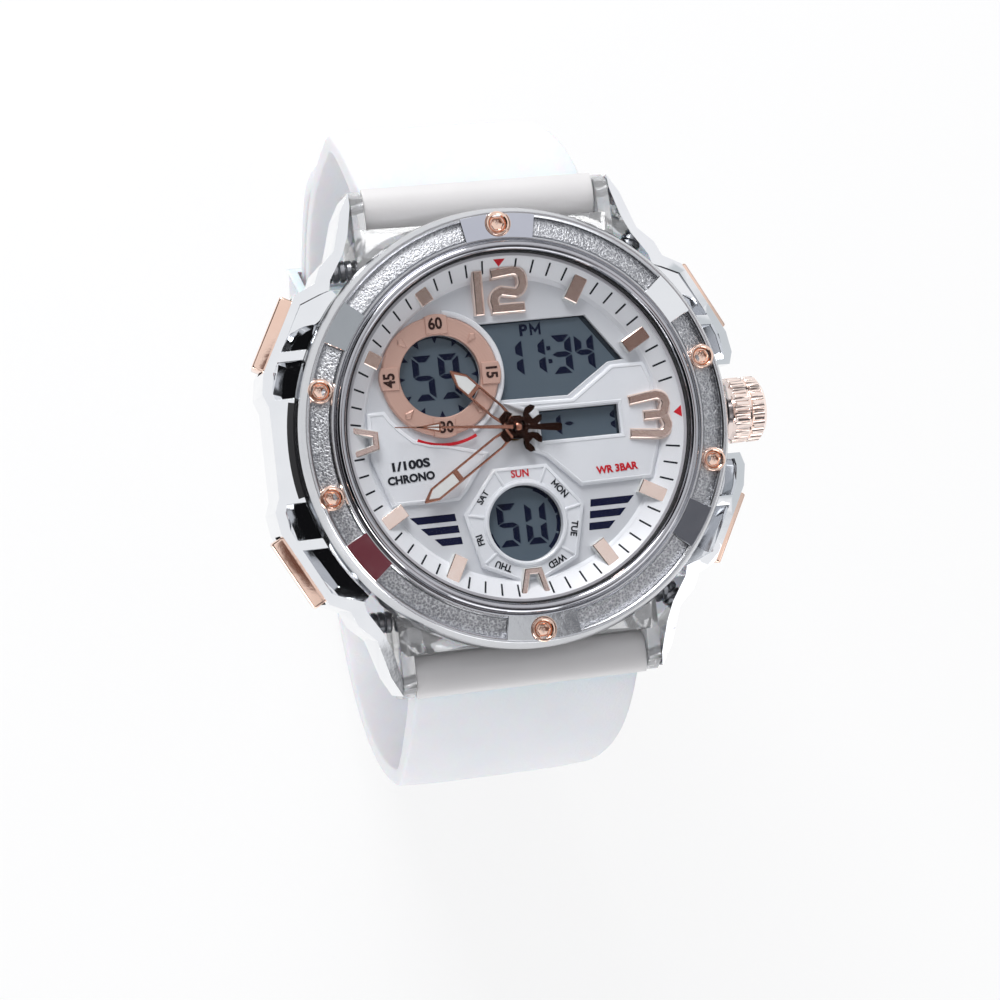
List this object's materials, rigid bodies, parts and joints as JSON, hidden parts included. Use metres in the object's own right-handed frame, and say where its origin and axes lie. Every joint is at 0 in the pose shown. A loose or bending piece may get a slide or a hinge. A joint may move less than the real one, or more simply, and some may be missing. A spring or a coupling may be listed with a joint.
{
  "type": "wristwatch",
  "caption": "Round sports watch with a screwed bezel, clear case, side guards, pushers, fluted crown, hands over a digital display, and a buckled resin strap.",
  "frame": {"origin": "middle of the case back's outer face, under the hands' axis", "axes": "+Z out of the dial, +Y towards 12 o'clock, +X towards 3 o'clock and the crown; the strap hangs below the case along -Z, buckled round the wrist space"},
  "size_m": [0.0537, 0.0763, 0.0705],
  "materials": {
    "clear_case": "clear moulded polycarbonate",
    "polished_steel": "mirror polished",
    "satin_steel": "satin",
    "blasted_steel": "bead blasted",
    "plain_steel": "plain machined",
    "rose_steel": "rose gold plated, polished",
    "black_rubber": "matte",
    "contact_rubber": "layered, matte",
    "mineral_glass": "clear polished",
    "dial_white": "fine satin",
    "rose_dial": "satin rose",
    "rose_hands": "polished rose edges",
    "lcd_glass": "reflective liquid crystal",
    "light_guide": "clear sheet",
    "module_plastic": "moulded black",
    "brass_parts": "lacquered",
    "copper_wire": "enamelled winding",
    "board_green": "solder mask",
    "cover_grey": "warm grey satin",
    "strap_resin": "white translucent resin"
  },
  "bodies": {
    "case": {"case_middle": "clear_case", "thread_inserts": "brass_parts", "guard_left": "polished_steel", "guard_right": "polished_steel", "bezel": "satin_steel", "bezel_inlays": "blasted_steel", "bezel_screws": "rose_steel", "bezel_gasket": "black_rubber", "crystal": "mineral_glass", "crystal_gasket": "black_rubber", "crystal_ring": "polished_steel", "minute_track": "dial_white", "dial_plate": "dial_white", "dial_relief": "dial_white", "weekday_frame": "dial_white", "seconds_ring": "rose_dial", "hour_markers": "rose_dial", "lcd_panel": "lcd_glass", "zebra_strips": "contact_rubber", "light_guide": "light_guide", "module_housing": "module_plastic", "main_plate": "brass_parts", "train_bridge": "brass_parts", "motor_coil": "copper_wire", "motor_stator": "plain_steel", "circuit_board": "board_green", "battery": "plain_steel", "battery_clip": "plain_steel", "case_back": "satin_steel", "case_back_gasket": "black_rubber", "case_back_screws": "plain_steel", "pusher_tubes": "plain_steel", "pusher_springs": "plain_steel", "crown_tube": "plain_steel", "strap_covers": "cover_grey", "spring_bars": "plain_steel"},
    "minute_hand": {"minute_hand": "rose_hands", "cannon_pinion": "plain_steel"},
    "hour_hand": {"hour_hand": "rose_hands", "hour_wheel": "brass_parts"},
    "seconds_hand": {"seconds_hand": "rose_hands", "seconds_wheel": "plain_steel"},
    "minute_wheel": {"minute_wheel": "brass_parts"},
    "third_wheel": {"third_wheel": "brass_parts"},
    "crown_slide": {"setting_lever": "plain_steel"},
    "crown": {"crown": "rose_steel", "crown_stem": "plain_steel", "crown_gasket": "black_rubber"},
    "pusher_2": {"pusher_2": "rose_steel"},
    "pusher_4": {"pusher_4": "rose_steel"},
    "pusher_8": {"pusher_8": "rose_steel"},
    "pusher_10": {"pusher_10": "rose_steel"},
    "strap_12": {"strap_12": "strap_resin"},
    "strap_6": {"strap_6": "strap_resin"},
    "buckle_frame": {"buckle_frame": "satin_steel", "buckle_bar": "plain_steel"},
    "buckle_prong": {"buckle_prong": "satin_steel"},
    "keeper": {"keeper": "strap_resin"}
  },
  "joints": [
    {"name": "minute_hand_turn", "type": "hinge", "parent": "case", "child": "minute_hand", "pos_m": [0, 0, 0.012], "axis": [0, 0, -1], "continuous": true},
    {"name": "hour_hand_turn", "type": "hinge", "parent": "case", "child": "hour_hand", "pos_m": [0, 0, 0.012], "axis": [0, 0, -1], "continuous": true},
    {"name": "seconds_hand_turn", "type": "hinge", "parent": "case", "child": "seconds_hand", "pos_m": [0, 0, 0.012], "axis": [0, 0, -1], "continuous": true},
    {"name": "minute_wheel_turn", "type": "hinge", "parent": "case", "child": "minute_wheel", "pos_m": [0.0015, -0.0026, 0.009], "axis": [0, 0, -1], "continuous": true},
    {"name": "third_wheel_turn", "type": "hinge", "parent": "case", "child": "third_wheel", "pos_m": [-0.00368, -0.00213, 0.007], "axis": [0, 0, -1], "continuous": true},
    {"name": "crown_pull", "type": "slide", "parent": "case", "child": "crown_slide", "axis": [1, 0, 0], "range_m": [0, 0.001]},
    {"name": "crown_turn", "type": "hinge", "parent": "crown_slide", "child": "crown", "pos_m": [0.0265, 0, 0.0053], "axis": [1, 0, 0], "continuous": true},
    {"name": "pusher_2_press", "type": "slide", "parent": "case", "child": "pusher_2", "axis": [-0.8829, -0.4695, 0], "range_m": [0, 0.0007], "stiffness_N_per_m": 1500, "springref_m": -0.001, "deforming": ["pusher_springs"]},
    {"name": "pusher_4_press", "type": "slide", "parent": "case", "child": "pusher_4", "axis": [-0.8829, 0.4695, 0], "range_m": [0, 0.0007], "stiffness_N_per_m": 1500, "springref_m": -0.001, "deforming": ["pusher_springs"]},
    {"name": "pusher_8_press", "type": "slide", "parent": "case", "child": "pusher_8", "axis": [0.8829, 0.4695, 0], "range_m": [0, 0.0007], "stiffness_N_per_m": 1500, "springref_m": -0.001, "deforming": ["pusher_springs"]},
    {"name": "pusher_10_press", "type": "slide", "parent": "case", "child": "pusher_10", "axis": [0.8829, -0.4695, 0], "range_m": [0, 0.0007], "stiffness_N_per_m": 1500, "springref_m": -0.001, "deforming": ["pusher_springs"]},
    {"name": "strap_12_swing", "type": "hinge", "parent": "case", "child": "strap_12", "pos_m": [0, 0.0244, 0.0044], "axis": [1, 0, 0], "range_deg": [0, 30], "deforming": ["strap_6"]},
    {"name": "strap_6_swing", "type": "hinge", "parent": "case", "child": "strap_6", "pos_m": [0, -0.0244, 0.0044], "axis": [-1, 0, 0], "range_deg": [0, 30], "deforming": ["strap_6"]},
    {"name": "buckle_swing", "type": "hinge", "parent": "strap_12", "child": "buckle_frame", "pos_m": [0, 0.0014, -0.051], "axis": [1, 0, 0], "range_deg": [0, 55], "deforming": ["strap_6"]},
    {"name": "prong_swing", "type": "hinge", "parent": "buckle_frame", "child": "buckle_prong", "pos_m": [0, 0.0014, -0.051], "axis": [1, 0, 0], "range_deg": [0, 35], "deforming": ["strap_6"]},
    {"name": "keeper_slide", "type": "hinge", "parent": "strap_12", "child": "keeper", "pos_m": [0, 0.009, -0.024], "axis": [1, 0, 0], "range_deg": [-6, 6]}
  ],
  "couplings": [
    {"joint": "hour_hand_turn", "follows": "minute_hand_turn", "ratio": 0.083333},
    {"joint": "minute_wheel_turn", "follows": "minute_hand_turn", "ratio": -0.33333},
    {"joint": "third_wheel_turn", "follows": "minute_hand_turn", "ratio": -8},
    {"joint": "seconds_hand_turn", "follows": "minute_hand_turn", "ratio": 60}
  ]
}
